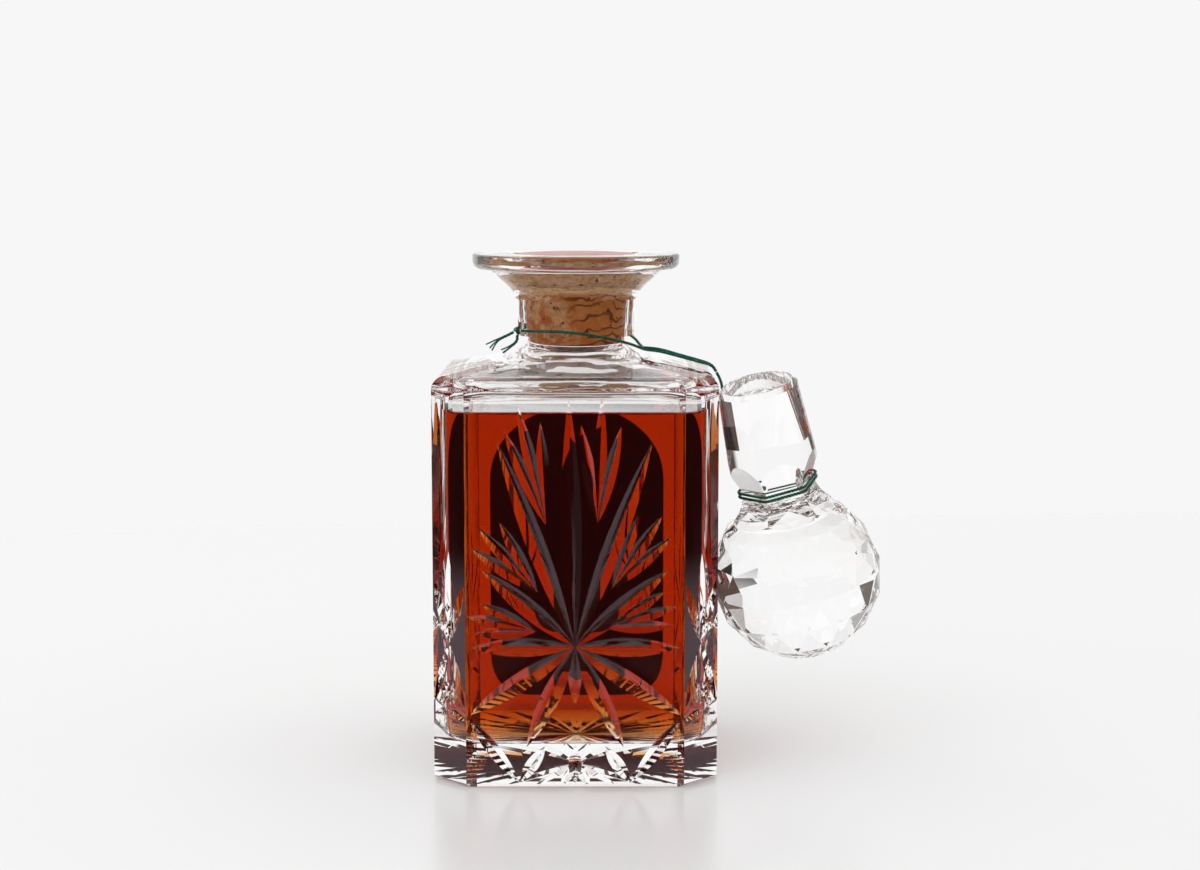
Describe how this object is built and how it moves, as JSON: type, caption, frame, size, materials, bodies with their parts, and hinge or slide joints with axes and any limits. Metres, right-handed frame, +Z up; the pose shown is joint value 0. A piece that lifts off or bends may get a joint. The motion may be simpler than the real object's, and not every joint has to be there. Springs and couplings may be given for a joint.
{
  "type": "whisky decanter",
  "caption": "Square cut-glass decanter holding whisky, closed by a cork under wax, with its faceted ball stopper hanging at the side on a string tied round the neck.",
  "frame": {"origin": "on the upright axis of the decanter, at the flat left at the middle of its base", "axes": "+Z up along the neck, -Y out of the face that the picture shows, +X towards the hanging stopper"},
  "size_m": [0.1535, 0.0956, 0.1756],
  "materials": {
    "clear_glass": "clear polished lead-crystal glass",
    "whisky": "clear amber-red spirit",
    "cork": "natural cork bark",
    "sealing_wax": "poured pinkish red sealing wax",
    "label_paper": "paper label, dark on the side that faces the glass",
    "string": "dark green waxed twisted twine"
  },
  "bodies": {
    "decanter": {"glass_body": "clear_glass", "whisky": "whisky", "back_label": "label_paper", "cord_neck_front": "string", "cord_neck_back": "string", "cord_knot": "string", "cord_tail_long": "string", "cord_tail_short": "string", "cord_span": "string"},
    "cork": {"cork": "cork", "wax_seal": "sealing_wax"},
    "stopper": {"glass_stopper": "clear_glass", "cord_drop": "string", "cord_winding": "string"}
  },
  "joints": [
    {"name": "cork_draw", "type": "slide", "parent": "decanter", "child": "cork", "axis": [0, 0, 1], "range_m": [0, 0.035]},
    {"name": "stopper_swing", "type": "hinge", "parent": "decanter", "child": "stopper", "pos_m": [0.0494, 0, 0.134], "axis": [0, -1, 0], "range_deg": [0, 90]}
  ]
}
